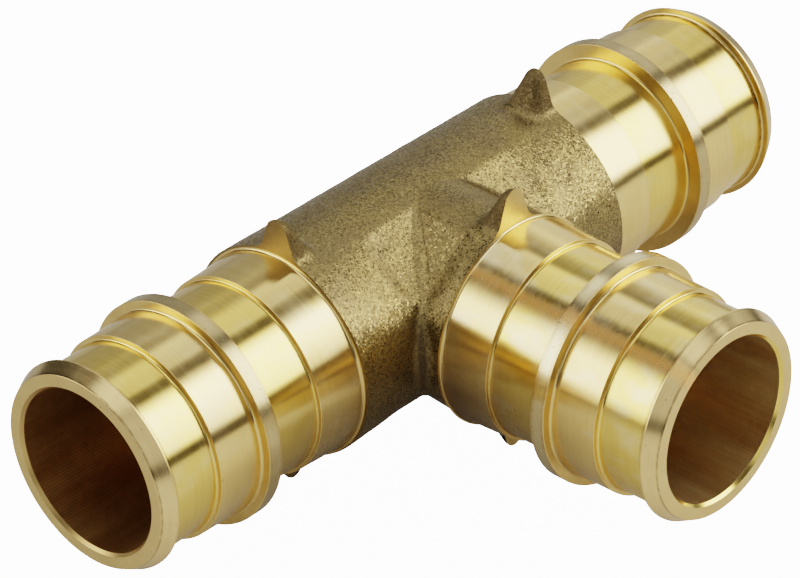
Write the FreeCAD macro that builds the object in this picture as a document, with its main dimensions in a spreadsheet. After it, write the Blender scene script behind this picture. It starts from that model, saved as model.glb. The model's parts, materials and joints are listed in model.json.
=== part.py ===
"""Brass tee for cold-expansion pipe: one forged body with three turned, ribbed spigots.

Frame: +Z up, origin where the run axis and the branch axis cross. The run lies along X and the
branch points along -Y. Lengths are in millimetres.

The real fitting is a single forging. Its four zones are kept as four solids that meet face to
face: the forged body with its shoulders and stop lugs, and the three spigots.
"""
import FreeCAD, Part
import os

SHEET_NAME = "Dimensions"
MATCH = 1e-3    # two lengths closer than this are the same length
FULL_TURN = 360.0

# Every driving size of the fitting. Distances along a spigot are measured from its mouth.
SIZES = {
    "run_reach": 39.85,              # axis crossing to either run mouth
    "branch_reach": 35.03,           # axis crossing to the branch mouth
    "spigot_length": 23.19,          # mouth to the shoulder where the pipe stops
    "bore_radius": 7.52,
    "body_radius": 10.10,            # forged barrel, between the two run shoulders
    "neck_radius": 9.95,             # forged neck of the branch
    "crotch_radius": 1.70,           # fillet where the neck meets the barrel
    "joint": 22.30,                  # mouth to the face where a spigot zone meets the body zone
    "root_fillet": 0.25,             # concave corner at the foot of each shoulder, step and rib
    "chamfer_radius": 7.63,          # the bore's chamfer, at the mouth
    "chamfer_depth": 0.45,
    "face_radius": 8.88,             # outer edge of the flat ring at the mouth
    "lip_radius": 9.55,
    "lip_front": 1.28,
    "lip_back": 1.48,
    "land_radius": 8.90,             # the two low lands
    "front_step": 6.40,
    "front_step_radius": 9.40,
    "front_land_radius": 9.48,       # the raised land, where it reaches the rib
    "rib_front": 11.03,
    "rib_back": 12.48,
    "rib_radius": 10.40,
    "rear_step": 18.30,
    "rear_step_radius": 9.30,
    "rear_land_radius": 9.52,        # the last land, where it reaches the shoulder
    "lug_root": 9.00,                # a lug grows from this radius, inside the barrel
    "lug_reach": 13.30,
    "lug_root_width": 4.40,
    "lug_tip_width": 1.90,
    "lug_root_length": 2.90,
    "lug_tip_length": 0.90,
    "lug_edge_fillet": 0.60,
}

X_AXIS = FreeCAD.Vector(1, 0, 0)
Y_AXIS = FreeCAD.Vector(0, 1, 0)
Z_AXIS = FreeCAD.Vector(0, 0, 1)

doc = FreeCAD.newDocument("expansion_tee")


def size(name):
    """A size as an expression that reads the sheet."""
    return "<<%s>>.%s" % (SHEET_NAME, name)


def make_sheet():
    sheet = doc.addObject("Spreadsheet::Sheet", SHEET_NAME)
    for row, (name, value) in enumerate(SIZES.items(), start=1):
        sheet.set("A%d" % row, name)
        sheet.set("B%d" % row, "%g" % value)
        sheet.setAlias("B%d" % row, name)
    doc.recompute()


def plane(body, role):
    for feature in body.Origin.OriginFeatures:
        if feature.Role == role:
            return feature
    raise ValueError("no origin plane " + role)


def new_sketch(body, name, role):
    sketch = body.newObject("Sketcher::SketchObject", name)
    sketch.AttachmentSupport = [(plane(body, role), "")]
    sketch.MapMode = "FlatFace"
    return sketch


def circle_sketch(body, name, role, radius):
    """A circle about the origin of one of the body's planes."""
    sketch = new_sketch(body, name, role)
    sketch.addGeometry(Part.Circle(FreeCAD.Vector(0, 0, 0), Z_AXIS, SIZES[radius]), False)
    sketch.addConstraint(Sketcher.Constraint("Coincident", 0, 3, -1, 1))
    row = sketch.addConstraint(Sketcher.Constraint("Radius", 0, SIZES[radius]))
    sketch.renameConstraint(row, "radius")
    sketch.setExpression("Constraints.radius", size(radius))
    return sketch


def add_pad(body, sketch, length, midplane=False):
    pad = body.newObject("PartDesign::Pad", sketch.Name + "_pad")
    pad.Profile = sketch
    pad.Midplane = midplane
    pad.setExpression("Length", length)
    sketch.Visibility = False
    doc.recompute()
    return pad


def add_pocket(body, sketch, length, midplane=False):
    """A pocket, checked to have removed material."""
    before = body.Shape.Volume
    pocket = body.newObject("PartDesign::Pocket", sketch.Name + "_pocket")
    pocket.Profile = sketch
    pocket.Midplane = midplane
    pocket.Reversed = not midplane
    pocket.setExpression("Length", length)
    sketch.Visibility = False
    doc.recompute()
    if body.Shape.Volume >= before:
        raise ValueError(sketch.Name + " cuts nothing")
    return pocket


def add_fillet(body, name, edge_test, radius):
    """Round every edge of the body that edge_test accepts."""
    base = body.Tip
    edges = ["Edge%d" % n for n, edge in enumerate(base.Shape.Edges, start=1) if edge_test(edge)]
    fillet = body.newObject("PartDesign::Fillet", name)
    fillet.Base = (base, edges)
    fillet.setExpression("Radius", size(radius))
    doc.recompute()
    print(name, "rounds", len(edges), "edges")
    return fillet


def same(a, b):
    return abs(a - b) < MATCH


def is_circle(edge, axis, place, radius):
    """Whether the edge is a circle of this radius about the row axis, at this distance along it."""
    curve = edge.Curve
    if not isinstance(curve, Part.Circle) or not same(curve.Radius, radius):
        return False
    off_axis = curve.Center - axis * curve.Center.dot(axis)
    return off_axis.Length < MATCH and same(curve.Center.dot(axis), place)


# ---------------------------------------------------------------- forged body

RUN_SHOULDER = "%s - %s" % (size("run_reach"), size("spigot_length"))
BRANCH_SHOULDER = "%s - %s" % (size("branch_reach"), size("spigot_length"))
run_shoulder = SIZES["run_reach"] - SIZES["spigot_length"]
branch_shoulder = SIZES["branch_reach"] - SIZES["spigot_length"]


def is_mitre(edge):
    """The one edge that is neither round nor straight: where the neck runs into the barrel."""
    return not isinstance(edge.Curve, (Part.Circle, Part.Line))


def is_stub_root(edge):
    """The concave circles where the turned stubs leave the shoulder faces."""
    radius = SIZES["rear_land_radius"]
    return (is_circle(edge, X_AXIS, run_shoulder, radius)
            or is_circle(edge, X_AXIS, -run_shoulder, radius)
            or is_circle(edge, Y_AXIS, -branch_shoulder, radius))


def is_lug_edge(edge):
    """The edges of a lug that reach its tip, except those of its flat machined front."""
    box = edge.BoundBox
    reaches_tip = same(max(abs(box.ZMin), abs(box.ZMax)), SIZES["lug_reach"])
    on_run_shoulder = same(min(abs(box.XMin), abs(box.XMax)), run_shoulder)
    on_branch_shoulder = same(box.YMax, -branch_shoulder)
    return reaches_tip and not on_run_shoulder and not on_branch_shoulder


def add_lug(body, name, towards_mouth, outwards, shoulder):
    """A stop lug: a wedge whose flat front is flush with the shoulder face."""
    lug = body.newObject("PartDesign::AdditiveWedge", name)
    sideways = towards_mouth.cross(outwards)
    turn = FreeCAD.Rotation(towards_mouth, outwards, sideways, "XYZ")
    lug.Placement = FreeCAD.Placement(FreeCAD.Vector(0, 0, 0), turn)
    reach = "(%s)" % shoulder
    bounds = {
        "Xmin": "%s - %s" % (reach, size("lug_root_length")),
        "X2min": "%s - %s" % (reach, size("lug_tip_length")),
        "Xmax": reach,
        "X2max": reach,
        "Ymin": size("lug_root"),
        "Ymax": size("lug_reach"),
        "Zmin": "-%s / 2" % size("lug_root_width"),
        "Zmax": "%s / 2" % size("lug_root_width"),
        "Z2min": "-%s / 2" % size("lug_tip_width"),
        "Z2max": "%s / 2" % size("lug_tip_width"),
    }
    for bound, expression in bounds.items():
        lug.setExpression(bound, expression)
    doc.recompute()
    return lug


def make_forged_body():
    body = doc.addObject("PartDesign::Body", "forged_body")
    barrel = circle_sketch(body, "barrel_section", "YZ_Plane", "body_radius")
    add_pad(body, barrel, "2 * (%s)" % RUN_SHOULDER, midplane=True)
    neck = circle_sketch(body, "neck_section", "XZ_Plane", "neck_radius")
    add_pad(body, neck, BRANCH_SHOULDER)
    add_fillet(body, "crotch_fillet", is_mitre, "crotch_radius")

    run_stub = circle_sketch(body, "run_stub_section", "YZ_Plane", "rear_land_radius")
    run_joint = "%s - %s" % (size("run_reach"), size("joint"))
    add_pad(body, run_stub, "2 * (%s)" % run_joint, midplane=True)
    branch_stub = circle_sketch(body, "branch_stub_section", "XZ_Plane", "rear_land_radius")
    add_pad(body, branch_stub, "%s - %s" % (size("branch_reach"), size("joint")))
    add_fillet(body, "shoulder_roots", is_stub_root, "root_fillet")

    ends = {
        "left": (X_AXIS * -1, RUN_SHOULDER),
        "right": (X_AXIS, RUN_SHOULDER),
        "branch": (Y_AXIS * -1, BRANCH_SHOULDER),
    }
    for end, (towards_mouth, shoulder) in ends.items():
        add_lug(body, end + "_top_lug", towards_mouth, Z_AXIS, shoulder)
        add_lug(body, end + "_bottom_lug", towards_mouth, Z_AXIS * -1, shoulder)
    add_fillet(body, "lug_edges", is_lug_edge, "lug_edge_fillet")

    run_bore = circle_sketch(body, "run_bore_section", "YZ_Plane", "bore_radius")
    add_pocket(body, run_bore, "2 * %s" % size("run_reach"), midplane=True)
    branch_bore = circle_sketch(body, "branch_bore_section", "XZ_Plane", "bore_radius")
    add_pocket(body, branch_bore, size("branch_reach"))
    return body


# ---------------------------------------------------------------- spigots

# The turned outline, from the bore round the outside and back to the joint with the body. Each
# point is its distance from the mouth (None on the mouth's own plane) and its radius.
OUTLINE = [
    ("chamfer_depth", "bore_radius"),
    (None, "chamfer_radius"),
    (None, "face_radius"),
    ("lip_front", "lip_radius"),
    ("lip_back", "lip_radius"),
    ("lip_back", "land_radius"),
    ("front_step", "land_radius"),
    ("front_step", "front_step_radius"),
    ("rib_front", "front_land_radius"),
    ("rib_front", "rib_radius"),
    ("rib_back", "rib_radius"),
    ("rib_back", "land_radius"),
    ("rear_step", "land_radius"),
    ("rear_step", "rear_step_radius"),
    ("joint", "rear_land_radius"),
    ("joint", "bore_radius"),
]

# The foot of each wall: its distance from the mouth and the radius of the land it stands on.
ROOTS = [
    ("lip_back", "land_radius"),
    ("front_step", "land_radius"),
    ("rib_front", "front_land_radius"),
    ("rib_back", "land_radius"),
    ("rear_step", "land_radius"),
]


def pin_point(sketch, line, kind, name):
    """Hold the start of a line at a distance along or from the spigot's axis."""
    row = sketch.addConstraint(Sketcher.Constraint(kind, -1, 1, line, 1, SIZES[name]))
    label = "%s_%d" % (kind, line)
    sketch.renameConstraint(row, label)
    sketch.setExpression("Constraints." + label, size(name))


def is_root(edge):
    return any(is_circle(edge, X_AXIS, SIZES[place], SIZES[radius]) for place, radius in ROOTS)


def make_spigot(label, turn, reach_property, reach):
    """One spigot, turned about its own X axis with its mouth at the origin, then put in place."""
    body = doc.addObject("PartDesign::Body", label)
    sketch = new_sketch(body, label + "_outline", "XY_Plane")
    corners = [FreeCAD.Vector(SIZES.get(place, 0.0), SIZES[radius], 0) for place, radius in OUTLINE]
    count = len(corners)
    for line in range(count):
        side = Part.LineSegment(corners[line], corners[(line + 1) % count])
        sketch.addGeometry(side, False)
    for line in range(count):
        sketch.addConstraint(Sketcher.Constraint("Coincident", line, 2, (line + 1) % count, 1))
    for line, (place, radius) in enumerate(OUTLINE):
        pin_point(sketch, line, "DistanceY", radius)
        if place is None:
            sketch.addConstraint(Sketcher.Constraint("PointOnObject", line, 1, -2))
        else:
            pin_point(sketch, line, "DistanceX", place)
    doc.recompute()

    turned = body.newObject("PartDesign::Revolution", label + "_turned")
    turned.Profile = sketch
    turned.ReferenceAxis = (sketch, ["H_Axis"])
    turned.Angle = FULL_TURN
    sketch.Visibility = False
    doc.recompute()
    add_fillet(body, label + "_roots", is_root, "root_fillet")
    body.Placement = FreeCAD.Placement(FreeCAD.Vector(0, 0, 0), FreeCAD.Rotation(Z_AXIS, turn))
    body.setExpression(reach_property, reach)
    return body


# ---------------------------------------------------------------- build, check and write

def check_document():
    for item in doc.Objects:
        if "Invalid" in item.State or "Error" in item.State:
            raise ValueError("%s did not compute: %s" % (item.Name, item.State))


def check_shape(body):
    shape = body.Shape
    if shape.isNull() or not shape.isValid() or len(shape.Solids) != 1:
        raise ValueError(body.Label + " is not one valid solid")
    box = shape.BoundBox
    print("%-15s volume %9.1f mm3  x %.2f..%.2f  y %.2f..%.2f  z %.2f..%.2f" % (
        body.Label, shape.Volume, box.XMin, box.XMax, box.YMin, box.YMax, box.ZMin, box.ZMax))


make_sheet()
parts = [
    make_forged_body(),
    make_spigot("left_spigot", 0.0, "Placement.Base.x", "-" + size("run_reach")),
    make_spigot("right_spigot", 180.0, "Placement.Base.x", size("run_reach")),
    make_spigot("branch_spigot", 90.0, "Placement.Base.y", "-" + size("branch_reach")),
]
doc.recompute()
check_document()
for part in parts:
    check_shape(part)

os.makedirs("parts", exist_ok=True)
for part in parts:
    part.Shape.exportStep("parts/%s.step" % part.Label)
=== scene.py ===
"""Looks of the brass expansion tee: a forged, shot-blasted body and three turned, ribbed spigots.

Shapes are worked out in millimetres in the CAD frame (run along X, branch along -Y, +Z up, origin
where the axes cross) and scaled to metres when they become meshes.
"""
import json
import math

import bmesh
import bpy
import numpy as np
from mathutils import Matrix, Vector, noise

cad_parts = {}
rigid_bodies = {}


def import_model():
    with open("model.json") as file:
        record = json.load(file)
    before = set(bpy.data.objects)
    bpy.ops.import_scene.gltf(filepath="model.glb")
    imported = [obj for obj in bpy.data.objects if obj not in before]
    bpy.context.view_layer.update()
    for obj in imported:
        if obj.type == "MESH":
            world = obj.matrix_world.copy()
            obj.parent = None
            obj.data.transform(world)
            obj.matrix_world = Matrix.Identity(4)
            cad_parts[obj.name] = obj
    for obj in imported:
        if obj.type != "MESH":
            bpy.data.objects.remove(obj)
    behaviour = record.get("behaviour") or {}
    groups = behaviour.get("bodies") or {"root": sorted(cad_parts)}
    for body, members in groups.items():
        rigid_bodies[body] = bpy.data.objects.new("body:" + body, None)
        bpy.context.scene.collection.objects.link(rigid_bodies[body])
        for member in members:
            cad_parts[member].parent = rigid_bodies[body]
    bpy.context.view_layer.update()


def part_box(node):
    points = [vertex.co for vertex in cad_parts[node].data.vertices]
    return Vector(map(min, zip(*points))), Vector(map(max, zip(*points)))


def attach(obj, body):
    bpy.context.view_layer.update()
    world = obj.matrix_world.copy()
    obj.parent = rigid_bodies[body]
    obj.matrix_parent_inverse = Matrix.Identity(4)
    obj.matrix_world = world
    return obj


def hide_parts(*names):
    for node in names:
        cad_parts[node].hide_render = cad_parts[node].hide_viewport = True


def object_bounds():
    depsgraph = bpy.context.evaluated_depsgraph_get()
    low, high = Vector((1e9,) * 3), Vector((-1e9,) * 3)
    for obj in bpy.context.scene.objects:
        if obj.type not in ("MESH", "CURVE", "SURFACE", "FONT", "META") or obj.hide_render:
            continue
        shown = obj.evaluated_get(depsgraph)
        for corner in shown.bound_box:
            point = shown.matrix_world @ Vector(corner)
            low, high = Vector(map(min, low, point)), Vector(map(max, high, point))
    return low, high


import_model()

MM = 0.001
ROUND = 384     # facets round every turned surface


# ---------------------------------------------------------------- places, from the frame

def node_box(node):
    low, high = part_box(node)
    return low / MM, high / MM


left_low, _ = node_box("left_spigot")
branch_low, _ = node_box("branch_spigot")
_, body_high = node_box("forged_body")

RUN_REACH = -left_low.x             # axis crossing to a run mouth
BRANCH_REACH = -branch_low.y        # axis crossing to the branch mouth
LUG_TIP = body_high.z               # height of the stop lugs

# Distances along a spigot from its mouth, and radii.
SHOULDER = 23.19                    # the wall that the pipe stops against
BORE = 7.52
LAND = 8.90
RIB = 10.40
RUN_SHOULDER = RUN_REACH - SHOULDER
BRANCH_SHOULDER = BRANCH_REACH - SHOULDER


# ---------------------------------------------------------------- meshes

def make_object(name, mesh, materials):
    piece = bpy.data.objects.new(name, mesh)
    bpy.context.scene.collection.objects.link(piece)
    for material in materials:
        mesh.materials.append(material)
    return piece


EDGE = 0.05         # break on a turned outer edge
ROOT = 0.25         # fillet at the foot of a turned wall
ARC_STEPS = 5
ROOM = 0.45         # largest share of a run that the arc at its end takes up
LAST_ROOM = 0.98    # the same for the run that ends the outline, which has no other arc

# Finishes of a spigot, as places in its list of materials.
TURNED, WALL, FACED, CROWN, BORED, LIP, RAISED = range(7)
PROUD = 0.003       # the spigot's last ring stands this far in front of the shoulder's face

# The turned outline, from the bore's inner end round the mouth to the shoulder: distance from the
# mouth, radius, corner radius, and the finish of the run that follows.
OUTLINE = [
    (SHOULDER, BORE, 0.0, BORED),
    (0.28, BORE, 0.03, LIP),
    (0.0, 7.78, 0.03, FACED),
    (0.0, 8.88, 0.06, FACED),
    (1.28, 9.55, EDGE, WALL),
    (1.48, 9.55, EDGE, WALL),
    (1.48, LAND, ROOT, TURNED),
    (6.40, LAND, ROOT, WALL),
    (6.40, 9.40, EDGE, RAISED),
    (11.03, 9.48, ROOT, WALL),
    (11.03, RIB, EDGE, CROWN),
    (12.48, RIB, EDGE, WALL),
    (12.48, LAND, ROOT, TURNED),
    (18.30, LAND, ROOT, WALL),
    (18.30, 9.30, EDGE, RAISED),
    (SHOULDER - PROUD, 9.53, ROOT, WALL),
    (SHOULDER - PROUD, 9.79, 0.0, WALL),
]
SUPPORT = 0.04      # a ring this close to each corner keeps the flats flat when shaded
LONG_RUN = 0.9      # longest stretch between two rings
SHARP_ANGLE = 50    # edges that turn by more than this many degrees are shaded as sharp


def corner_arc(before, corner, after, radius, room=ROOM):
    """Points of the arc that rounds a corner; room is the share of the run after it that it may fill."""
    into = (before - corner).normalized()
    out = (after - corner).normalized()
    half = into.angle(out) / 2
    longest = min(ROOM * (before - corner).length, room * (after - corner).length)
    reach = min(radius / math.tan(half), longest)
    radius = reach * math.tan(half)
    centre = corner + (into + out).normalized() * (radius / math.sin(half))
    start = corner + into * reach - centre
    end = corner + out * reach - centre
    sweep = start.angle(end)
    points = []
    for step in range(ARC_STEPS + 1):
        share = step / ARC_STEPS
        weight_start = math.sin((1 - share) * sweep) / math.sin(sweep)
        weight_end = math.sin(share * sweep) / math.sin(sweep)
        points.append(centre + start * weight_start + end * weight_end)
    return points


def turned_profile():
    """The outline as rings (distance, radius, finish of the stretch that follows the ring)."""
    corners = [Vector((distance, radius)) for distance, radius, _, _ in OUTLINE]
    last = len(corners) - 1
    arcs = []
    for n, (_, _, radius, _) in enumerate(OUTLINE):
        if n in (0, last) or radius == 0.0:
            arcs.append([corners[n]])
        else:
            room = LAST_ROOM if n == last - 1 else ROOM
            arcs.append(corner_arc(corners[n - 1], corners[n], corners[n + 1], radius, room))
    rings = []
    for n, arc in enumerate(arcs):
        finish_before = OUTLINE[n - 1][3] if n else OUTLINE[0][3]
        finish = OUTLINE[n][3]
        middle = len(arc) // 2
        for k, point in enumerate(arc):
            rings.append((point.x, point.y, finish if k >= middle else finish_before))
        if n == last:
            break
        start, end = arc[-1], arcs[n + 1][0]
        length = (end - start).length
        if length < 4 * SUPPORT:
            continue
        count = max(1, math.ceil(length / LONG_RUN))
        shares = [SUPPORT / length] + [k / count for k in range(1, count)] + [1 - SUPPORT / length]
        for share in shares:
            point = start.lerp(end, share)
            rings.append((point.x, point.y, finish))
    return rings


def lathe_mesh(name, rings):
    """A closed solid turned about X from an outline whose two ends lie on one plane."""
    verts, faces, finishes = [], [], []
    for distance, radius, _ in rings:
        for k in range(ROUND):
            angle = 2 * math.pi * k / ROUND
            side, up = radius * math.cos(angle), radius * math.sin(angle)
            verts.append((distance * MM, side * MM, up * MM))
    count = len(rings)
    for n in range(count):
        a, b = n * ROUND, (n + 1) % count * ROUND
        for k in range(ROUND):
            nxt = (k + 1) % ROUND
            faces.append((a + k, a + nxt, b + nxt, b + k))
            finishes.append(rings[n][2])
    mesh = bpy.data.meshes.new(name)
    mesh.from_pydata(verts, [], faces)
    mesh.polygons.foreach_set("material_index", finishes)
    mesh.shade_smooth()
    tidy = bmesh.new()
    tidy.from_mesh(mesh)
    bmesh.ops.recalc_face_normals(tidy, faces=tidy.faces)
    tidy.to_mesh(mesh)
    tidy.free()
    mesh.set_sharp_from_angle(angle=math.radians(SHARP_ANGLE))
    return mesh


def make_spigots(looks):
    """The same turned shape three times, each with its mouth at its own end of the tee."""
    rings = turned_profile()
    places = {
        "left_spigot": (Vector((-RUN_REACH, 0, 0)), 0),
        "right_spigot": (Vector((RUN_REACH, 0, 0)), 180),
        "branch_spigot": (Vector((0, -BRANCH_REACH, 0)), 90),
    }
    for node, (mouth, turn) in places.items():
        piece = make_object(node + "_turned", lathe_mesh(node, rings), looks[node])
        turned = Matrix.Rotation(math.radians(turn), 4, "Z")
        piece.matrix_world = Matrix.Translation(mouth * MM) @ turned
        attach(piece, "root")
        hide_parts(node)


# ---------------------------------------------------------------- forged body

BARREL = 10.10          # radius of the barrel along Y
NECK = 9.95             # radius of the neck along X
TOP_SQUASH = 0.985      # the forging dies leave both a little low at the top and underneath
BOTTOM_SQUASH = 0.975
CROTCH = 1.4            # fillet between neck and barrel at the sides
# The flanks next to the crotch are flat. For barrel and neck: how far the flat's normal points up,
# half the angle it takes up round its tube, both in degrees, and how fast it runs out for each mm.
BARREL_FLAT = (52.0, 23.0, 0.14)
NECK_FLAT = (49.0, 25.5, 0.25)
FLAT_END = 9.0          # how far from the middle of the tee the flats begin to run out
FLAT_EDGE = 0.12        # rounding of a flat's edges, which softens where it runs out
FLAT_EDGE_GROWTH = 0.35  # how much that rounding grows for each mm
FLAT_EDGE_MAX = 0.9
LUG_BASE = 10.1         # height at which the next two are measured
LUG_HALF_WIDTH = 1.90
LUG_THICKNESS = 2.20
LUG_SIDE_SLOPE = 0.34   # how much a side leans in for each mm of height
LUG_BACK_SLOPE = 0.44
LUG_TIP_ROUND = 0.85
LUG_BACK_ROUND = 1.00
LUG_FOOT = 0.75         # fillet between a lug and the body
OVERRUN = 1.2           # the skin is made this much too long and then cut at the shoulders
VOXEL = 0.20            # size of the skin's faces
BLANK_SIDES = 96
PULLS = 6               # how often the blank's points are pulled on to the skin
LONGEST_PULL = 0.5
LEAST_SLOPE = 0.2       # keeps a pull short where the distance hardly changes
RUN_STATIONS = 12       # rows of faces along each half of the run's bore, and along the branch's
BRANCH_STATIONS = 8

# Relief of the blasted skin: height of each noise in mm, how fine it is per mm, and its shift.
RELIEF = [
    (0.035, 0.28, (0, 0, 0)),       # slow waves of the dies
    (0.022, 0.80, (7, 3, 5)),
    (0.006, 1.60, (0, 0, 0)),       # fine grain
    (0.004, 3.00, (2, 9, 4)),
]
RELIEF_SINK = 0.01      # the whole skin lies this much deeper

# Finishes of the body, as places in its list of materials.
SKIN, RUN_FACE, BRANCH_FACE, BODY_BORE = range(4)


def union_round(a, b, radius):
    """Distance to two shapes joined with a concave fillet."""
    inside = np.hypot(np.maximum(radius - a, 0), np.maximum(radius - b, 0))
    return np.maximum(radius, np.minimum(a, b)) - inside


def common_round(a, b, radius):
    """Distance to what two shapes share, with its edge rounded."""
    outside = np.hypot(np.maximum(radius + a, 0), np.maximum(radius + b, 0))
    return np.minimum(-radius, np.maximum(a, b)) + outside


def oval(side, height, radius):
    """Distance to a cylinder that is a little low at the top and underneath, and its normal."""
    squash = np.where(height > 0, TOP_SQUASH, BOTTOM_SQUASH)
    reach = np.hypot(side, height / squash)
    normal = np.stack([side, height / squash ** 2])
    return reach - radius, normal / np.maximum(np.hypot(*normal), 1e-6)


def with_flat(tube, radius, side, height, along, shape):
    """Distance to a tube with a flat on its flank, which runs out away from the tee's middle."""
    lean, half, runout = shape
    lean = math.radians(lean)
    past = np.maximum(along - FLAT_END, 0)
    reach = radius * math.cos(math.radians(half)) + runout * past
    flat = side * math.cos(lean) + np.abs(height) * math.sin(lean) - reach
    return common_round(tube, flat, np.minimum(FLAT_EDGE + FLAT_EDGE_GROWTH * past, FLAT_EDGE_MAX))


def lug_distance(depth, sideways, height):
    """Distance to one stop lug; depth runs from its flat front into the body."""
    above = height - LUG_BASE
    side = np.abs(sideways) - (LUG_HALF_WIDTH - LUG_SIDE_SLOPE * above)
    back = depth - (LUG_THICKNESS - LUG_BACK_SLOPE * above)
    side = side / math.hypot(1, LUG_SIDE_SLOPE)
    back = back / math.hypot(1, LUG_BACK_SLOPE)
    top = height - LUG_TIP
    return common_round(common_round(side, top, LUG_TIP_ROUND), back, LUG_BACK_ROUND)


def skin_distance(points):
    """Distance of points to the forged skin, before its relief."""
    x, y, z = points.T
    barrel, barrel_normal = oval(y, z, BARREL)
    neck, neck_normal = oval(x, z, NECK)
    barrel = with_flat(barrel, BARREL, -y, z, np.abs(x), BARREL_FLAT)
    neck = with_flat(neck, NECK, np.abs(x), z, -y, NECK_FLAT)
    neck = np.maximum(neck, y)
    bend = 1 - np.clip(barrel_normal[1] * neck_normal[1], 0, 1)
    distance = union_round(barrel, neck, CROTCH * bend ** 4)
    lugs = np.minimum(lug_distance(RUN_SHOULDER - np.abs(x), y, np.abs(z)),
                      lug_distance(BRANCH_SHOULDER + y, x, np.abs(z)))
    return union_round(distance, lugs, LUG_FOOT)


def skin_gradient(points):
    step = 0.01
    columns = []
    for axis in range(3):
        shift = np.zeros(3)
        shift[axis] = step
        columns.append((skin_distance(points + shift) - skin_distance(points - shift)) / (2 * step))
    return np.stack(columns, axis=1)


def rough_blank():
    """Overlapping tubes and boxes a little larger than the forging, remeshed into one skin."""
    blank = bmesh.new()
    run_length = 2 * (RUN_SHOULDER + OVERRUN)
    neck_length = BRANCH_SHOULDER + OVERRUN
    bmesh.ops.create_cone(blank, cap_ends=True, segments=BLANK_SIDES, radius1=BARREL, radius2=BARREL,
                          depth=run_length, matrix=Matrix.Rotation(math.pi / 2, 4, "Y"))
    neck_place = Matrix.Translation((0, -neck_length / 2, 0)) @ Matrix.Rotation(math.pi / 2, 4, "X")
    bmesh.ops.create_cone(blank, cap_ends=True, segments=BLANK_SIDES, radius1=NECK, radius2=NECK,
                          depth=neck_length, matrix=neck_place)
    deep = LUG_THICKNESS + OVERRUN
    middle = (OVERRUN - LUG_THICKNESS) / 2
    for turn, shoulder in ((0, RUN_SHOULDER), (180, RUN_SHOULDER), (-90, BRANCH_SHOULDER)):
        place = (Matrix.Rotation(math.radians(turn), 4, "Z")
                 @ Matrix.Translation((shoulder + middle, 0, 0))
                 @ Matrix.Diagonal((deep, 2 * LUG_HALF_WIDTH, 2 * LUG_TIP, 1)))
        bmesh.ops.create_cube(blank, size=1, matrix=place)
    mesh = bpy.data.meshes.new("blank")
    blank.to_mesh(mesh)
    blank.free()
    holder = make_object("blank", mesh, [])
    remesh = holder.modifiers.new("remesh", "REMESH")
    remesh.mode = "VOXEL"
    remesh.voxel_size = VOXEL
    remesh.adaptivity = 0.0
    depsgraph = bpy.context.evaluated_depsgraph_get()
    solid = bpy.data.meshes.new_from_object(holder.evaluated_get(depsgraph))
    bpy.data.objects.remove(holder)
    return solid


def relief(point):
    """Height of the blasted skin at a point."""
    place = Vector(point)
    total = sum(height * noise.noise(place * fineness + Vector(shift))
                for height, fineness, shift in RELIEF)
    return total - RELIEF_SINK


def skin_mesh():
    """The forged skin in millimetres, still longer than the body at its three ends."""
    mesh = rough_blank()
    points = np.zeros(len(mesh.vertices) * 3)
    mesh.vertices.foreach_get("co", points)
    points = points.reshape(-1, 3)
    for _ in range(PULLS):
        slope = skin_gradient(points)
        size = np.maximum((slope ** 2).sum(axis=1, keepdims=True), LEAST_SLOPE)
        gap = np.clip(skin_distance(points)[:, None], -LONGEST_PULL, LONGEST_PULL)
        points = points - gap * slope / size
    normal = skin_gradient(points)
    normal /= np.maximum(np.linalg.norm(normal, axis=1, keepdims=True), 1e-6)
    heights = np.array([relief(point) for point in points])
    points = points + normal * heights[:, None]
    mesh.vertices.foreach_set("co", points.ravel())
    return mesh


def bore_grid(body, across, station_count):
    """Adds a grid of faces; across(k, share) gives the point at one angle and share of the way."""
    rows = []
    for station in range(station_count + 1):
        rows.append([body.verts.new(across(k, station / station_count)) for k in range(ROUND)])
    for low, high in zip(rows, rows[1:]):
        for k in range(ROUND):
            nxt = (k + 1) % ROUND
            corners = (low[k], low[nxt], high[nxt], high[k])
            body.faces.new(corners).material_index = BODY_BORE


def run_bore(side):
    """Half of the run's bore, from a shoulder to the curve where the branch opens into it."""
    def across(k, share):
        angle = 2 * math.pi * k / ROUND
        y, z = BORE * math.cos(angle), BORE * math.sin(angle)
        inner = max(0.0, -y)
        return side * (RUN_SHOULDER + (inner - RUN_SHOULDER) * share), y, z
    return across


def branch_bore(k, share):
    angle = 2 * math.pi * k / ROUND
    x, z = BORE * math.cos(angle), BORE * math.sin(angle)
    return x, -(BRANCH_SHOULDER + (abs(x) - BRANCH_SHOULDER) * share), z


def cut_shoulder(body, along, shoulder, finish):
    """Cuts the skin square at a shoulder and closes it with the flat machined ring."""
    geometry = body.verts[:] + body.edges[:] + body.faces[:]
    cut = bmesh.ops.bisect_plane(body, geom=geometry, plane_co=along * shoulder, plane_no=along,
                                 clear_outer=True, dist=1e-5)
    rim = [item for item in cut["geom_cut"] if isinstance(item, bmesh.types.BMEdge)]
    around = Vector((along.y, -along.x, 0))
    ring = []
    for k in range(ROUND):
        angle = 2 * math.pi * k / ROUND
        flat = around * math.cos(angle) + Vector((0, 0, math.sin(angle)))
        ring.append(body.verts.new(along * shoulder + flat * BORE))
    inner = [body.edges.new((ring[k - 1], ring[k])) for k in range(ROUND)]
    filled = bmesh.ops.triangle_fill(body, use_beauty=True, edges=rim + inner, normal=along)
    for item in filled["geom"]:
        if isinstance(item, bmesh.types.BMFace):
            item.material_index = finish
            item.smooth = False
    for edge in rim + inner:
        edge.smooth = False


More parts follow.
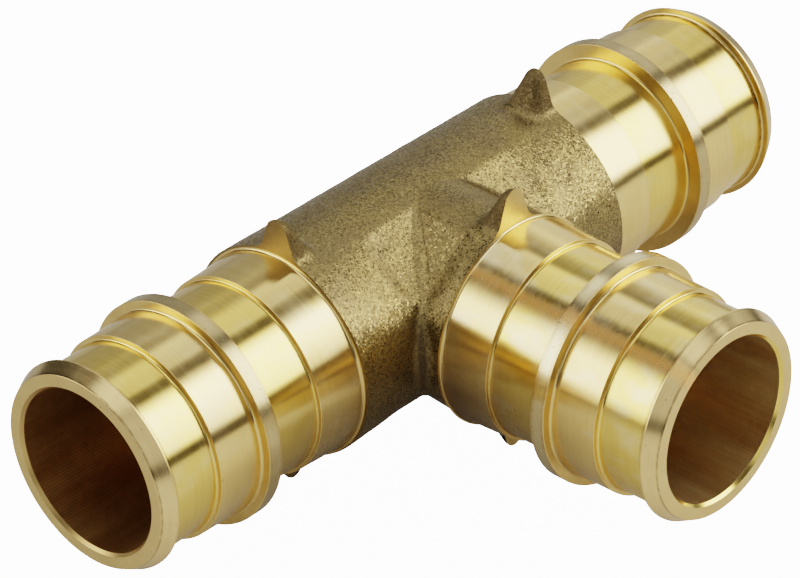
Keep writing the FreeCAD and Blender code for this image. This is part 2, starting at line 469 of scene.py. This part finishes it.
def make_body(materials):
    mesh = skin_mesh()
    body = bmesh.new()
    body.from_mesh(mesh)
    for face in body.faces:
        face.smooth = True
        face.material_index = SKIN
    cut_shoulder(body, Vector((1, 0, 0)), RUN_SHOULDER, RUN_FACE)
    cut_shoulder(body, Vector((-1, 0, 0)), RUN_SHOULDER, RUN_FACE)
    cut_shoulder(body, Vector((0, -1, 0)), BRANCH_SHOULDER, BRANCH_FACE)
    bore_grid(body, run_bore(1), RUN_STATIONS)
    bore_grid(body, run_bore(-1), RUN_STATIONS)
    bore_grid(body, branch_bore, BRANCH_STATIONS)
    bmesh.ops.remove_doubles(body, verts=body.verts, dist=1e-3)
    bmesh.ops.triangulate(body, faces=[face for face in body.faces if len(face.verts) > 4])
    bmesh.ops.recalc_face_normals(body, faces=body.faces)
    bmesh.ops.scale(body, vec=(MM, MM, MM), verts=body.verts)
    loose = sum(1 for edge in body.edges if len(edge.link_faces) != 2)
    print("body:", len(body.verts), "points,", len(body.faces), "faces,", loose, "open edges")
    body.to_mesh(mesh)
    body.free()
    piece = make_object("forged_body_skin", mesh, materials)
    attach(piece, "root")
    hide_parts("forged_body")


# ---------------------------------------------------------------- materials

class Graph:
    """Short names for the node calls that every material here makes."""

    def __init__(self, tree):
        self.tree = tree

    def node(self, kind, **settings):
        made = self.tree.nodes.new(kind)
        for name, value in settings.items():
            setattr(made, name, value)
        return made

    def feed(self, socket, value):
        if isinstance(value, bpy.types.NodeSocket):
            self.tree.links.new(value, socket)
        elif value is not None:
            socket.default_value = value

    def math(self, operation, a, b=None, c=None, clamp=False):
        made = self.node("ShaderNodeMath", operation=operation, use_clamp=clamp)
        for socket, value in zip(made.inputs, (a, b, c)):
            self.feed(socket, value)
        return made.outputs[0]

    def stretched(self, vector, scale, shift=(0, 0, 0)):
        made = self.node("ShaderNodeVectorMath", operation="MULTIPLY_ADD")
        for socket, value in zip(made.inputs, (vector, scale, shift)):
            self.feed(socket, value)
        return made.outputs[0]

    def noise(self, vector, scale, detail=2.0, roughness=0.5, colored=False):
        made = self.node("ShaderNodeTexNoise")
        self.feed(made.inputs["Vector"], vector)
        made.inputs["Scale"].default_value = scale
        made.inputs["Detail"].default_value = detail
        made.inputs["Roughness"].default_value = roughness
        return made.outputs[1 if colored else 0]

    def remap(self, value, low, high, to_low=0.0, to_high=1.0):
        made = self.node("ShaderNodeMapRange", clamp=True)
        for name, item in (("Value", value), ("From Min", low), ("From Max", high),
                           ("To Min", to_low), ("To Max", to_high)):
            self.feed(made.inputs[name], item)
        return made.outputs[0]

    def mix(self, share, first, second):
        made = self.node("ShaderNodeMix", data_type="RGBA")
        self.feed(made.inputs["Factor"], share)
        self.feed(made.inputs[6], first)
        self.feed(made.inputs[7], second)
        return made.outputs[2]

    def bump(self, height, distance, strength=1.0, normal=None):
        made = self.node("ShaderNodeBump")
        made.inputs["Strength"].default_value = strength
        made.inputs["Distance"].default_value = distance * MM
        self.feed(made.inputs["Height"], height)
        self.feed(made.inputs["Normal"], normal)
        return made.outputs[0]


def metal(name):
    """A new metallic material: its node graph, its shader and object coordinates in mm."""
    material = bpy.data.materials.new(name)
    material.use_nodes = True
    graph = Graph(material.node_tree)
    shader = material.node_tree.nodes["Principled BSDF"]
    shader.inputs["Metallic"].default_value = 1.0
    place = graph.node("ShaderNodeTexCoord").outputs["Object"]
    place = graph.stretched(place, (1 / MM, 1 / MM, 1 / MM))
    return material, graph, shader, place


def rgb(red, green, blue):
    return red, green, blue, 1.0


def turned_metal(name, place_scale, light, dark, roughness, spread, line_depth, anisotropy=0.0,
                 pit_size=3.0, pit_share=0.0, mottle=0.0, streak=None, stain=0.0, under_shade=0.0,
                 rings=()):
    """Brass with lines round an axis. place_scale stretches mm so that the lines run round it."""
    material, graph, shader, place = metal(name)
    lines = graph.stretched(place, place_scale)
    coarse = graph.noise(lines, 1.0, 2.0, 0.6)
    fine = graph.noise(graph.stretched(lines, (1, 1, 1), (31, 7, 3)), 4.0, 3.0, 0.7)
    cloud = graph.noise(graph.stretched(place, (1, 1, 1), (5, 5, 5)), 0.45, 3.0, 0.55)
    tone = graph.math("MULTIPLY_ADD", fine, 0.45, graph.math("MULTIPLY", coarse, 0.25))
    tone = graph.math("MULTIPLY_ADD", cloud, 0.3 + mottle, tone)
    color = graph.mix(graph.remap(tone, DARKEST_TONE, LIGHTEST_TONE + mottle), dark, light)
    rough = graph.math("MULTIPLY_ADD", tone, spread, roughness - spread / 2)
    height = graph.math("MULTIPLY_ADD", coarse, 1.5, fine)
    if stain:
        blot = graph.noise(graph.stretched(place, (0.5, 1, 1), (17, 4, 9)), 0.42, 2.0, 0.5)
        color = graph.mix(graph.remap(blot, *STAIN_LEVELS, 0.0, stain), color, PALE_STAIN)
        rough = graph.math("MULTIPLY_ADD", graph.remap(blot, *STAIN_LEVELS), STAIN_ROUGH, rough)
    # painted shade underneath the spigot, towards the shoulder: darker, rougher and less metallic
    if under_shade:
        mask = graph.math("MULTIPLY", under_shade_mask(graph, place), under_shade)
        color = graph.mix(mask, color, UNDER_SHADE)
        rough = graph.math("MULTIPLY_ADD", mask, UNDER_SHADE_ROUGH, rough)
        graph.feed(shader.inputs["Metallic"], graph.math("MULTIPLY_ADD", mask, -UNDER_SHADE_FILM, 1.0))
    for at, half_width, share, tint in rings:
        color = graph.mix(ring_mask(graph, place, at, half_width, share), color, tint)
    if streak:
        angle, half_width = streak
        mask = streak_and_dark_band(graph, place, angle, half_width)
        color = graph.mix(mask, color, STREAK_COLOR)
        # painted reflection: a dark band beside the streak
        dark_band = streak_and_dark_band(graph, place, angle + 1.5 * half_width, 0.4 * half_width)
        color = graph.mix(graph.math("MULTIPLY", dark_band, DARK_BAND_SHARE), color, DARK_BAND)
        rough = graph.math("MULTIPLY_ADD", mask, STREAK_ROUGH, rough)
    if pit_share:
        cell = graph.node("ShaderNodeTexVoronoi")
        graph.feed(cell.inputs["Vector"], place)
        cell.inputs["Scale"].default_value = pit_size
        seed = graph.noise(cell.outputs["Position"], 9.0, 0.0)
        size = graph.remap(seed, pit_share, pit_share - 0.15, 0.0, 0.06 * pit_size)
        ragged = graph.math("MULTIPLY_ADD", fine, -0.08 * pit_size, cell.outputs["Distance"])
        pit = graph.math("LESS_THAN", ragged, graph.math("SUBTRACT", size, 0.04 * pit_size))
        color = graph.mix(graph.math("MULTIPLY", pit, PIT_DARKNESS), color, PIT)
        rough = graph.math("MULTIPLY_ADD", pit, PIT_ROUGH, rough)
    graph.feed(shader.inputs["Base Color"], color)
    graph.feed(shader.inputs["Roughness"], rough)
    if anisotropy:
        shader.inputs["Anisotropic"].default_value = anisotropy
        shader.inputs["Anisotropic Rotation"].default_value = ACROSS_LINES
        around = graph.node("ShaderNodeTangent", direction_type="RADIAL", axis="X")
        graph.feed(shader.inputs["Tangent"], around.outputs[0])
    graph.feed(shader.inputs["Normal"], graph.bump(height, line_depth))
    return material


def ring_mask(graph, place, at, half_width, share):
    """A patchy ring round a spigot, at a distance from its mouth."""
    way = graph.node("ShaderNodeSeparateXYZ")
    graph.feed(way.inputs[0], place)
    aside = graph.math("ABSOLUTE", graph.math("SUBTRACT", way.outputs[0], at))
    band = graph.remap(aside, half_width, 0.6 * half_width, 0.0, share)
    patches = graph.remap(graph.noise(place, 1.8, 4.0, 0.7), 0.38, 0.58, 0.35, 1.0)
    return graph.math("MULTIPLY", band, patches)


def under_shade_mask(graph, place):
    """Painted shade underneath a spigot, stronger towards the shoulder."""
    way = graph.node("ShaderNodeSeparateXYZ")
    graph.feed(way.inputs[0], place)
    inwards = graph.remap(way.outputs[0], *UNDER_SHADE_ALONG)
    below = graph.remap(way.outputs[2], *UNDER_SHADE_HEIGHT)
    return graph.math("MULTIPLY", inwards, below)


def streak_and_dark_band(graph, place, angle, half_width):
    """A smeared band along a spigot, at an angle round its axis in degrees: for the copper-coloured
    streak, and for the painted dark reflection beside it.
    """
    way = graph.node("ShaderNodeSeparateXYZ")
    graph.feed(way.inputs[0], place)
    around = graph.math("ARCTAN2", way.outputs[2], way.outputs[1])
    smear = graph.noise(graph.stretched(place, (1.6, 0.4, 0.4), (4, 4, 4)), 1.0, 4.0, 0.7)
    around = graph.math("MULTIPLY_ADD", smear, 0.12, graph.math("SUBTRACT", around, 0.06))
    aside = graph.math("ABSOLUTE", graph.math("SUBTRACT", around, math.radians(angle)))
    edge = math.radians(half_width)
    mask = graph.remap(aside, edge * 1.6, edge * 0.2)
    return graph.math("MULTIPLY", mask, graph.remap(smear, 0.30, 0.65, 0.45, 0.95))


def bore_metal(name, light, dark, ridge, dark_side=None):
    """A drilled bore with fine ridges and long stains, darker away from one angle."""
    material, graph, shader, place = metal(name)
    way = graph.node("ShaderNodeSeparateXYZ")
    graph.feed(way.inputs[0], place)
    around = graph.math("ARCTAN2", way.outputs[2], way.outputs[1])
    stains = graph.noise(graph.stretched(place, (0.04, 0.32, 0.32), (9, 2, 5)), 1.0, 3.0, 0.6)
    fine = graph.noise(graph.stretched(place, (0.10, 4.0, 4.0), (2, 6, 1)), 1.0, 3.0, 0.7)
    tone = graph.math("MULTIPLY_ADD", fine, 0.2, stains)
    color = graph.mix(graph.remap(tone, *BORE_TONES), dark, light)
    waver = graph.math("MULTIPLY_ADD", around, BORE_RIDGES, graph.math("MULTIPLY", stains, 5.0))
    wave = graph.math("MULTIPLY_ADD", graph.math("SINE", waver), 0.5, 0.5)
    color = graph.mix(graph.math("MULTIPLY", wave, ridge), color, BORE_BROWN)
    # darker away from one angle round the bore
    if dark_side:
        angle, share = dark_side
        aside = graph.math("SUBTRACT", around, math.radians(angle))
        aside = graph.math("WRAP", aside, math.pi, -math.pi)
        mask = graph.remap(graph.math("ABSOLUTE", aside), *DARK_SIDE_EDGE, 0.0, share)
        color = graph.mix(mask, color, BORE_BROWN)
    graph.feed(shader.inputs["Base Color"], color)
    graph.feed(shader.inputs["Roughness"], graph.math("MULTIPLY_ADD", tone, BORE_SPREAD, BORE_ROUGH))
    height = graph.math("MULTIPLY_ADD", wave, ridge, fine)
    graph.feed(shader.inputs["Normal"], graph.bump(height, BORE_RELIEF))
    return material


def crotch_mask(graph, place):
    """1 in the fillet between neck and barrel, 0 on the rest of the body."""
    way = graph.node("ShaderNodeSeparateXYZ")
    graph.feed(way.inputs[0], place)
    x, y, z = (graph.math("MULTIPLY", axis, axis) for axis in way.outputs)
    off_barrel = graph.math("SUBTRACT", graph.math("SQRT", graph.math("ADD", y, z)), BARREL)
    off_neck = graph.math("SUBTRACT", graph.math("SQRT", graph.math("ADD", x, z)), NECK)
    off_both = graph.math("MINIMUM", off_barrel, off_neck)
    return graph.remap(off_both, 0.0, CREASE_EDGE)


def forged_metal():
    """Shot-blasted forging skin: packed grains that each catch the light their own way."""
    material, graph, shader, place = metal("forged_skin")
    wobble = graph.noise(place, 3.0, 1.0, 0.5, colored=True)
    cell = graph.node("ShaderNodeTexVoronoi")
    graph.feed(cell.inputs["Vector"], graph.stretched(wobble, (0.25, 0.25, 0.25), place))
    cell.inputs["Scale"].default_value = GRAINS_PER_MM
    grain = graph.noise(place, 7.0, 2.0, 0.6)
    cloud = graph.noise(graph.stretched(place, (1, 1, 1), (3, 8, 1)), 0.30, 3.0, 0.6)
    tint = graph.node("ShaderNodeSeparateColor")
    graph.feed(tint.inputs[0], cell.outputs["Color"])
    tone = graph.math("MULTIPLY_ADD", tint.outputs[0], 0.6, grain)
    color = graph.mix(graph.remap(tone, *SKIN_TONES), SKIN_HOLLOW, SKIN_CREST)
    color = graph.mix(graph.remap(cloud, *STAINED_SKIN), color, SKIN_STAIN)
    crotch = crotch_mask(graph, place)
    way = graph.node("ShaderNodeSeparateXYZ")
    graph.feed(way.inputs[0], place)
    # painted shade: the body darker on its low side
    color = graph.mix(graph.remap(way.outputs[2], *LOW_SIDE_SHADE), color, SKIN_LOW_SHADE)
    # painted shade in the crease between neck and barrel, deepest at the bottom
    crease_shade = graph.math("MULTIPLY", crotch, graph.remap(way.outputs[2], *CREASE_SHADE_HEIGHTS))
    color = graph.mix(crease_shade, color, SKIN_CREASE_SHADE)
    tilt = graph.stretched(cell.outputs["Color"], (GRAIN_TILT,) * 3, (-GRAIN_TILT / 2,) * 3)
    leaning = graph.node("ShaderNodeVectorMath", operation="ADD")
    graph.feed(leaning.inputs[0], graph.node("ShaderNodeNewGeometry").outputs["Normal"])
    graph.feed(leaning.inputs[1], tilt)
    leant = graph.node("ShaderNodeVectorMath", operation="NORMALIZE")
    graph.feed(leant.inputs[0], leaning.outputs[0])
    rough = graph.remap(tint.outputs[1], *GLOSSY_GRAINS, SKIN_ROUGH, GRAIN_ROUGH)
    graph.feed(shader.inputs["Base Color"], color)
    graph.feed(shader.inputs["Roughness"], graph.math("MULTIPLY_ADD", crotch, CREASE_ROUGH, rough))
    graph.feed(shader.inputs["Normal"], graph.bump(grain, GRAIN_RELIEF, normal=leant.outputs[0]))
    return material


ACROSS_LINES = 0.25     # a quarter turn from the lines, the way their gloss spreads

# How fast the pattern of a metal changes along X, Y and Z, per mm. Lines run where it is slow.
ROUND_THE_AXIS = (3.0, 0.05, 0.05)
WORN_RIB = (4.0, 0.9, 0.9)
RUN_FACE_LINES = (0.2, 1.5, 1.5)
BRANCH_FACE_LINES = (1.5, 0.2, 1.5)
BODY_BORE_LINES = (3.0, 3.0, 0.3)
DARKEST_TONE = 0.32     # levels of the mixed noise at which a turned metal is darkest and lightest
LIGHTEST_TONE = 0.70
BRASS_LIGHT = rgb(0.87, 0.665, 0.23)
BRASS_DARK = rgb(0.73, 0.51, 0.15)
RAISED_LIGHT = rgb(0.87, 0.67, 0.30)
RAISED_DARK = rgb(0.73, 0.52, 0.21)
# colour of the painted shade underneath a spigot
UNDER_SHADE = rgb(0.20, 0.125, 0.06)
UNDER_SHADE_FILM = 0.36     # how far full painted shade hides the metal
UNDER_SHADE_ROUGH = 0.17
UNDER_SHADE_ALONG = (5.0, 22.0)     # mm from the mouth at which it begins, and is full
UNDER_SHADE_HEIGHT = (5.0, -2.0)    # mm above the axis
RUN_RIB = (rgb(0.64, 0.53, 0.30), rgb(0.44, 0.33, 0.16))
BRANCH_RIB = (rgb(0.82, 0.71, 0.43), rgb(0.58, 0.45, 0.24))
MOUTH_LIGHT = rgb(0.84, 0.66, 0.34)
MOUTH_DARK = rgb(0.60, 0.43, 0.20)
# dark brown: grime at the mouth, and painted shade on the land behind the cone
GRIME_AND_SHADE = rgb(0.17, 0.11, 0.05)
WORN_MOUTH = rgb(0.76, 0.54, 0.23)
WORN_EDGE = rgb(0.55, 0.38, 0.17)
# Rings of wear, dirt and painted shade: distance from the mouth, half width, share and colour.
# painted shade: a patchy dark ring on the land just behind the mouth's cone
LAND_SHADE_RINGS = [(1.48, 0.62, 0.75, GRIME_AND_SHADE)]
MOUTH_RINGS = [(0.0, 0.05, 0.55, WORN_MOUTH), (0.10, 0.09, 0.6, GRIME_AND_SHADE)]
RIB_RINGS = [(edge, 0.42, 0.6, WORN_EDGE) for edge in (11.03, 12.48)]
# Light and dark colour, and roughness.
RUN_LIP = (rgb(0.60, 0.43, 0.19), rgb(0.45, 0.31, 0.13), 0.32)
BRANCH_LIP = (BRASS_LIGHT, BRASS_DARK, 0.18)
RUN_SHOULDER_BRASS = (rgb(0.35, 0.27, 0.14), rgb(0.25, 0.18, 0.09), 0.42)
BRANCH_SHOULDER_BRASS = (rgb(0.74, 0.57, 0.27), rgb(0.56, 0.41, 0.18), 0.34)
WALL_LIGHT = rgb(0.84, 0.64, 0.30)
WALL_DARK = rgb(0.66, 0.47, 0.20)
STREAK_COLOR = rgb(0.95, 0.56, 0.22)
STREAK_ROUGH = 0.12
# colour of the painted dark reflection beside the branch's streak
DARK_BAND = rgb(0.22, 0.14, 0.07)
DARK_BAND_SHARE = 0.4
PIT = rgb(0.16, 0.11, 0.06)
PIT_DARKNESS = 0.75
PIT_ROUGH = 0.25
PALE_STAIN = rgb(0.86, 0.76, 0.56)
STAIN_LEVELS = (0.48, 0.80)     # levels of its noise at which a stain begins, and is full
STAIN_ROUGH = 0.06
SKIN_HOLLOW = rgb(0.185, 0.135, 0.062)
SKIN_CREST = rgb(0.44, 0.34, 0.145)
# colour of the painted shade in the crotch's crease
SKIN_CREASE_SHADE = rgb(0.13, 0.095, 0.055)
# colour of the painted shade on the body's low side
SKIN_LOW_SHADE = rgb(0.12, 0.085, 0.06)
SKIN_STAIN = rgb(0.21, 0.155, 0.10)
SKIN_TONES = (0.45, 1.15)       # levels of the grains' noise for hollow and crest
STAINED_SKIN = (0.35, 0.70, 0.0, 0.4)   # noise levels of the stains, and their least and most share
LOW_SIDE_SHADE = (4.5, -4.0, 0.0, 0.45)       # heights in mm of the painted shade on the low side, and its shares
CREASE_SHADE_HEIGHTS = (6.0, 0.0, 0.35, 0.88)   # the same for the painted shade in the crotch's crease
CREASE_EDGE = 0.25      # mm over which the crease begins
CREASE_ROUGH = 0.32     # roughness that the crease adds
GRAINS_PER_MM = 7.6
GRAIN_RELIEF = 0.010
GRAIN_TILT = 0.25       # how far a grain's face leans, as a share of its normal
SKIN_ROUGH = 0.44
GRAIN_ROUGH = 0.16      # roughness of the glossiest grains
GLOSSY_GRAINS = (0.60, 1.0)     # share of the grains at which the gloss begins, and is full
RUN_BORE = (rgb(0.97, 0.76, 0.40), rgb(0.84, 0.57, 0.25))
# painted light: the branch's bore is a paler copy of the run's bore colours
LIT_BRANCH_BORE = (rgb(1.0, 0.88, 0.60), rgb(0.88, 0.65, 0.36))
DARK_SIDE_EDGE = (math.radians(38), math.radians(80))     # where the darkening begins, and is full
BRANCH_STREAK = (54, 4)     # its angle round the branch from the -X side and its half width
BORE_RIDGES = 175       # fine ridges round a bore
BORE_TONES = (0.45, 0.75)
BORE_ROUGH = 0.30
BORE_SPREAD = 0.15      # roughness that the palest tone adds
BORE_RELIEF = 0.012
# brown of the bore's ridges and of its darker side
BORE_BROWN = rgb(0.42, 0.24, 0.12)


def spigot_materials(kind, rib, bore, lip, under_shade, stain, streak=None):
    """Materials of one spigot in the order of its finishes."""
    lands = [turned_metal(kind + name, ROUND_THE_AXIS, light, dark, roughness=0.17, spread=0.14,
                          line_depth=0.0006, anisotropy=0.75, pit_size=1.6, pit_share=0.38,
                          streak=streak, stain=stain, under_shade=under_shade, rings=rings)
             for name, light, dark, rings in (("_land", BRASS_LIGHT, BRASS_DARK, LAND_SHADE_RINGS),
                                              ("_raised_land", RAISED_LIGHT, RAISED_DARK, ()))]
    wall = turned_metal(kind + "_wall", ROUND_THE_AXIS, WALL_LIGHT, WALL_DARK, roughness=0.30,
                        spread=0.08, line_depth=0.0006)
    mouth = turned_metal(kind + "_mouth", ROUND_THE_AXIS, MOUTH_LIGHT, MOUTH_DARK, roughness=0.19,
                         spread=0.16, line_depth=0.002, pit_size=2.0, pit_share=0.42, mottle=0.25,
                         streak=streak, rings=MOUTH_RINGS)
    crown = turned_metal(kind + "_rib", WORN_RIB, *rib, roughness=0.20, spread=0.10,
                         line_depth=0.002, pit_size=2.6, pit_share=0.54, mottle=0.15,
                         streak=streak, rings=RIB_RINGS)
    bored = bore_metal(kind + "_bore", *bore)
    edge = turned_metal(kind + "_lip", ROUND_THE_AXIS, *lip, spread=0.06, line_depth=0.0006)
    return [lands[0], wall, mouth, crown, bored, edge, lands[1]]


def body_materials():
    run_face = turned_metal("run_shoulder", RUN_FACE_LINES, *RUN_SHOULDER_BRASS, spread=0.1,
                            line_depth=0.001)
    branch_face = turned_metal("branch_shoulder", BRANCH_FACE_LINES, *BRANCH_SHOULDER_BRASS,
                               spread=0.1, line_depth=0.001)
    bored = turned_metal("body_bore", BODY_BORE_LINES, *RUN_BORE, roughness=0.42, spread=0.12,
                         line_depth=0.004)
    return [forged_metal(), run_face, branch_face, bored]


# ---------------------------------------------------------------- camera, light and floor

CAMERA_AZIMUTH = 46.75      # the way it looks, from +Y towards +X
CAMERA_TILT = 33.28         # how far it looks down
CAMERA_ROLL = 1.384
CAMERA_AIM = (-1.441, 0.288, -1.300)
CAMERA_RANGE = 333.6
CAMERA_LENS = 170.5
CAMERA_SENSOR = 36.0
CAMERA_NEAR = 0.01          # metres


def make_camera():
    azimuth, tilt, roll = (math.radians(v) for v in (CAMERA_AZIMUTH, CAMERA_TILT, CAMERA_ROLL))
    level = math.cos(tilt)
    look = Vector((math.sin(azimuth) * level, math.cos(azimuth) * level, -math.sin(tilt)))
    right = look.cross(Vector((0, 0, 1))).normalized()
    up = right.cross(look)
    rolled_right = right * math.cos(roll) - up * math.sin(roll)
    rolled_up = up * math.cos(roll) + right * math.sin(roll)
    data = bpy.data.cameras.new("camera")
    data.lens = CAMERA_LENS
    data.sensor_width = CAMERA_SENSOR
    data.clip_start = CAMERA_NEAR
    camera = bpy.data.objects.new("camera", data)
    bpy.context.scene.collection.objects.link(camera)
    place = Matrix((rolled_right, rolled_up, -look)).transposed().to_4x4()
    place.translation = (Vector(CAMERA_AIM) - look * CAMERA_RANGE) * MM
    camera.matrix_world = place
    bpy.context.scene.camera = camera


WHITE = (1.0, 1.0, 1.0)
WARM = (1.0, 0.72, 0.50)
# Soft boxes of the studio, as patches of the surroundings: azimuth from +X towards +Y and
# elevation of the middle, half width, half height, softness of the sides and of the top and
# bottom, all in degrees, brightness and colour.
SOFT_BOXES = [
    (-38, 30, 19, 21, 6, 5, 2.6, WHITE),        # right of the camera
    (137, 22, 22, 19, 6, 16, 1.8, WHITE),       # left of the camera
    (121, 52.5, 7, 3.5, 5, 3, 0.50, WARM),      # warm edge above it
    (17, 54, 20, 5.5, 6, 5, 0.62, WHITE),
    (18, 38, 20, 13, 6, 8, 0.30, WHITE),
    (74, 51, 21.5, 7, 6, 8, 0.85, WHITE),
    (0, 83, 180, 19, 5, 8, 0.80, WHITE),        # overhead
    (-130, 36, 34, 24, 8, 6, 0.42, WHITE),      # the room behind the camera
    (-1, 23, 9, 15, 6, 8, 0.30, WHITE),
    (44, 24, 26, 24, 10, 8, 0.18, WHITE),       # behind the object
    (40, 17, 8, 17, 4, 6, 0.16, WHITE),
    (31, 14, 5.5, 15, 3, 6, 0.28, WHITE),
]
AMBIENT = 0.07
BACKGROUND = 13.0       # brightness of the backdrop, for the camera only
EXPOSURE = 0.5


def soft_box(graph, azimuth, elevation, box):
    """Light of one soft box in a direction given by its azimuth and elevation."""
    middle, height, half_width, half_height, soft_side, soft_end, brightness, tint = box
    aside = graph.math("SUBTRACT", azimuth, math.radians(middle))
    aside = graph.math("ABSOLUTE", graph.math("WRAP", aside, math.pi, -math.pi))
    above = graph.math("ABSOLUTE", graph.math("SUBTRACT", elevation, math.radians(height)))
    mask_side = graph.math("MULTIPLY_ADD", aside, -1 / math.radians(soft_side),
                           half_width / soft_side + 0.5, clamp=True)
    mask_end = graph.math("MULTIPLY_ADD", above, -1 / math.radians(soft_end),
                          half_height / soft_end + 0.5, clamp=True)
    mask = graph.math("MULTIPLY", graph.math("MULTIPLY", mask_side, mask_end), brightness)
    return graph.stretched(mask, tint)


def make_studio():
    world = bpy.data.worlds.new("studio")
    bpy.context.scene.world = world
    world.use_nodes = True
    world.node_tree.nodes.clear()
    graph = Graph(world.node_tree)
    way = graph.node("ShaderNodeSeparateXYZ")
    graph.feed(way.inputs[0], graph.node("ShaderNodeTexCoord").outputs["Generated"])
    azimuth = graph.math("ARCTAN2", way.outputs[1], way.outputs[0])
    elevation = graph.math("ARCSINE", way.outputs[2])
    light = (AMBIENT, AMBIENT, AMBIENT)
    for box in SOFT_BOXES:
        light = graph.stretched(soft_box(graph, azimuth, elevation, box), WHITE, light)
    lit = graph.node("ShaderNodeBackground")
    graph.feed(lit.inputs["Color"], light)
    seen = graph.node("ShaderNodeBackground")
    graph.feed(seen.inputs["Color"], rgb(1, 1, 1))
    graph.feed(seen.inputs["Strength"], BACKGROUND)
    choice = graph.node("ShaderNodeMixShader")
    graph.feed(choice.inputs[0], graph.node("ShaderNodeLightPath").outputs["Is Camera Ray"])
    graph.feed(choice.inputs[1], lit.outputs[0])
    graph.feed(choice.inputs[2], seen.outputs[0])
    graph.feed(graph.node("ShaderNodeOutputWorld").inputs[0], choice.outputs[0])


FLOOR_HALF = 2.0
FLOOR_GLOW = 4.8        # lifts the floor to white for the camera only
FLOOR_PALE = rgb(0.90, 0.90, 0.89)
FLOOR_ROUGH = 0.9
FLOOR_SPECKLE = 0.05    # how much its speckle darkens it
SPECKLES_PER_METRE = 300.0
# The floor as the brass sees it: paler in front of the object than behind it, where the object's shade
# is painted on.
FLOOR_FRONT = rgb(0.95, 0.94, 0.92)
FLOOR_BACK_SHADE = rgb(0.47, 0.46, 0.45)
FLOOR_FADE = (-0.03, 0.07)              # where along Y it goes from one to the other, in metres


def make_floor():
    """A plain pale floor under the lowest lug tips."""
    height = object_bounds()[0][2]
    signs = ((-1, -1), (1, -1), (1, 1), (-1, 1))
    corners = [(x * FLOOR_HALF, y * FLOOR_HALF, height) for x, y in signs]
    mesh = bpy.data.meshes.new("floor")
    mesh.from_pydata(corners, [], [(0, 1, 2, 3)])
    material = bpy.data.materials.new("pale_floor")
    material.use_nodes = True
    graph = Graph(material.node_tree)
    shader = material.node_tree.nodes["Principled BSDF"]
    place = graph.node("ShaderNodeTexCoord").outputs["Object"]
    speckle = graph.noise(place, SPECKLES_PER_METRE)
    way = graph.node("ShaderNodeSeparateXYZ")
    graph.feed(way.inputs[0], place)
    # painted shade: the floor darker behind the object, seen only in reflections
    mirrored = graph.mix(graph.remap(way.outputs[1], *FLOOR_FADE), FLOOR_FRONT, FLOOR_BACK_SHADE)
    seen = graph.node("ShaderNodeLightPath").outputs["Is Camera Ray"]
    color = graph.mix(seen, mirrored, FLOOR_PALE)
    dirt = graph.remap(speckle, 0, 1, 0, FLOOR_SPECKLE)
    graph.feed(shader.inputs["Base Color"], graph.mix(dirt, color, rgb(0, 0, 0)))
    shader.inputs["Roughness"].default_value = FLOOR_ROUGH
    shader.inputs["Emission Color"].default_value = rgb(1, 1, 1)
    graph.feed(shader.inputs["Emission Strength"], graph.math("MULTIPLY", seen, FLOOR_GLOW))
    make_object("floor", mesh, [material])


def set_view():
    view = bpy.context.scene.view_settings
    view.view_transform = "Filmic"
    view.look = "High Contrast"
    view.exposure = EXPOSURE


make_camera()
make_studio()
set_view()
make_spigots({
    "left_spigot": spigot_materials("left", RUN_RIB, (*RUN_BORE, 0.22, (-44, 0.45)), RUN_LIP,
                                    under_shade=0.6, stain=0.3),
    "right_spigot": spigot_materials("right", RUN_RIB, (*RUN_BORE, 0.2), RUN_LIP,
                                     under_shade=0.0, stain=0.3),
    "branch_spigot": spigot_materials("branch", BRANCH_RIB, (*LIT_BRANCH_BORE, 0.05), BRANCH_LIP,
                                      under_shade=0.95, stain=0.7, streak=BRANCH_STREAK),
})
make_body(body_materials())
make_floor()
